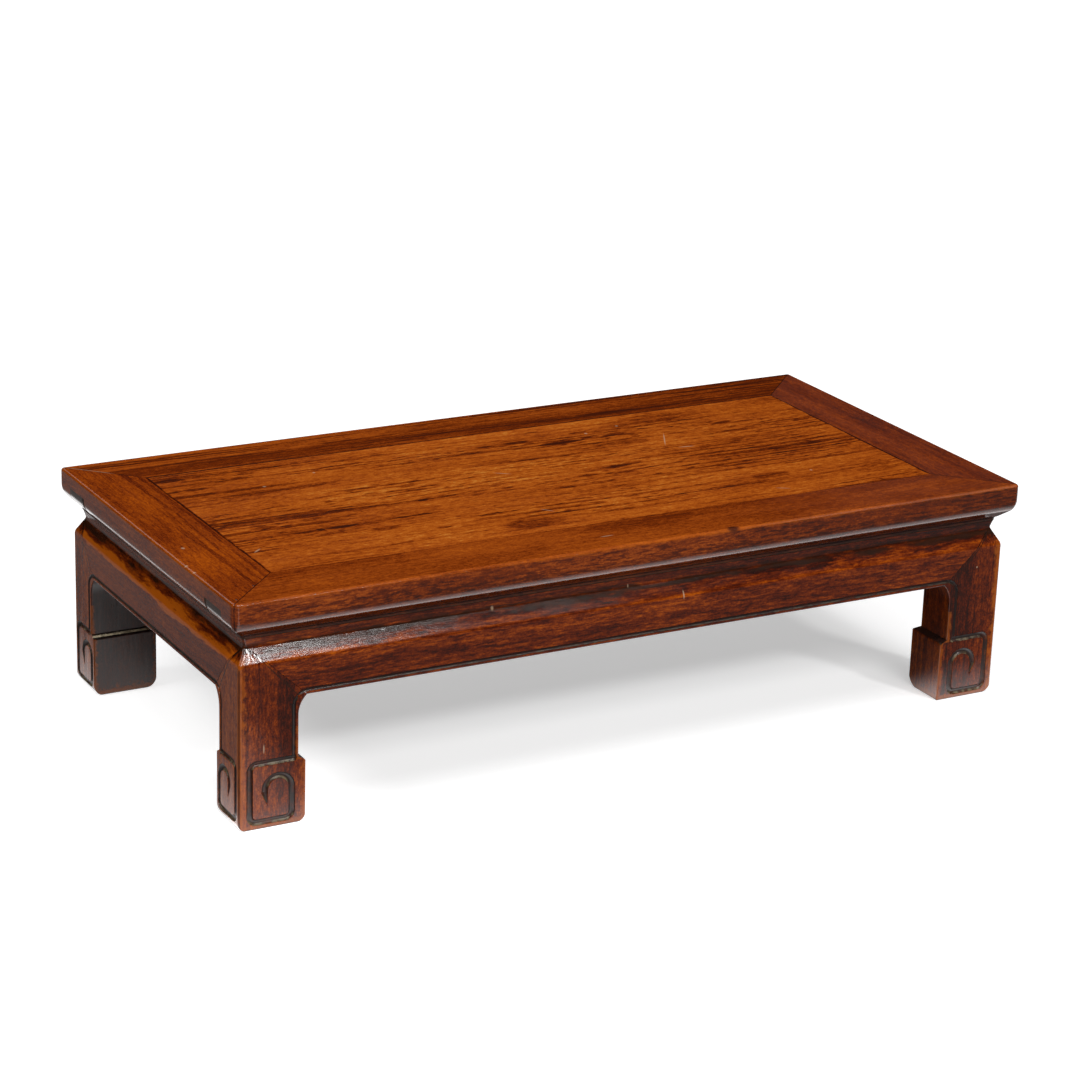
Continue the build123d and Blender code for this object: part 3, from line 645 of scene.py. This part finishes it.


def make_floor():
    """A white floor, with painted light over the shadow left of the table, and strips beside and
    before the table that glow only in reflections, as painted reflections.
    """
    bpy.ops.mesh.primitive_plane_add(size=60, location=(0, 0, 0))
    floor = bpy.context.object
    floor.name = "floor"
    material = bpy.data.materials.new("floor")
    material.use_nodes = True
    g = Graph(material.node_tree)
    g.tree.nodes.clear()
    x, y, _ = g.split(g.object_place())
    beside = g.sub(-FACE_X, x)
    before = g.sub(-FACE_Y, y)
    seen = g.node("ShaderNodeLightPath", "Is Camera Ray", {})
    mirrored = g.node("ShaderNodeLightPath", "Is Glossy Ray", {})
    # Painted light: the floor left of the table glows brighter for the camera, over the shadow
    direct = g.mul(seen, g.step(x, -0.24, -0.36, GLOW, GLOW_LEFT))
    # Painted reflections: strips of the floor that glow only in reflections
    strips = g.mul(mirrored, g.highest(
        g.mul(g.band(beside, -0.14, -0.04, -0.02, 0.07), LEFT_STRIP),
        g.mul(g.band(before, -0.08, -0.01, -0.02, 0.10), g.step(beside, 0.04, 0.0), FRONT_STRIP)))
    glow = g.node("ShaderNodeEmission", 0, {"Strength": g.add(direct, strips)})
    plain = g.node("ShaderNodeBsdfDiffuse", 0, {"Color": g.blend(seen, FLOOR_UNSEEN, FLOOR_SEEN)})
    both = g.node("ShaderNodeAddShader", 0, {0: plain, 1: glow})
    output = g.tree.nodes.new("ShaderNodeOutputMaterial")
    g.tree.links.new(both, output.inputs["Surface"])
    floor.data.materials.append(material)


def make_sun(name, toward, spread, level):
    """A soft lamp; level is its light on an upward face, where 1 makes a white one render white."""
    direction = Vector(toward).normalized()
    data = bpy.data.lights.new(name, "SUN")
    data.angle = math.radians(spread)
    data.energy = level * math.pi / direction.z
    lamp = bpy.data.objects.new(name, data)
    bpy.context.scene.collection.objects.link(lamp)
    lamp.rotation_euler = (-direction).to_track_quat("-Z", "Y").to_euler()


def make_world(level):
    """A dome that is bright overhead and dark near the horizon; the camera sees it white."""
    world = bpy.data.worlds.new("world")
    bpy.context.scene.world = world
    world.use_nodes = True
    g = Graph(world.node_tree)
    background = g.tree.nodes["Background"]
    background.inputs["Color"].default_value = (1.0, 1.0, 1.0, 1.0)
    _, _, rise = g.split(g.node("ShaderNodeTexCoord", "Generated", {}))
    dome = g.step(rise, 0.55, 1.0, 0.0, level)
    seen = g.node("ShaderNodeLightPath", "Is Camera Ray", {})
    g.tree.links.new(g.blend(seen, dome, 1.0), background.inputs["Strength"])


bpy.context.scene.view_settings.view_transform = "Standard"
make_camera()
make_floor()
make_sun("key_left", (-0.35, -1.12, 1.0), 18, 0.10)
make_sun("key", (0.05, -1.12, 1.0), 18, 0.15)
make_sun("key_right", (0.52, -1.39, 1.0), 7, 0.19)
make_sun("top", (0.18, -0.30, 1.0), 20, 0.22)
make_sun("back", (0.0, 1.0, 0.85), 30, 0.05)
make_sun("side", (-1.0, 0.0, 1.3), 24, 0.20)
make_world(0.15)
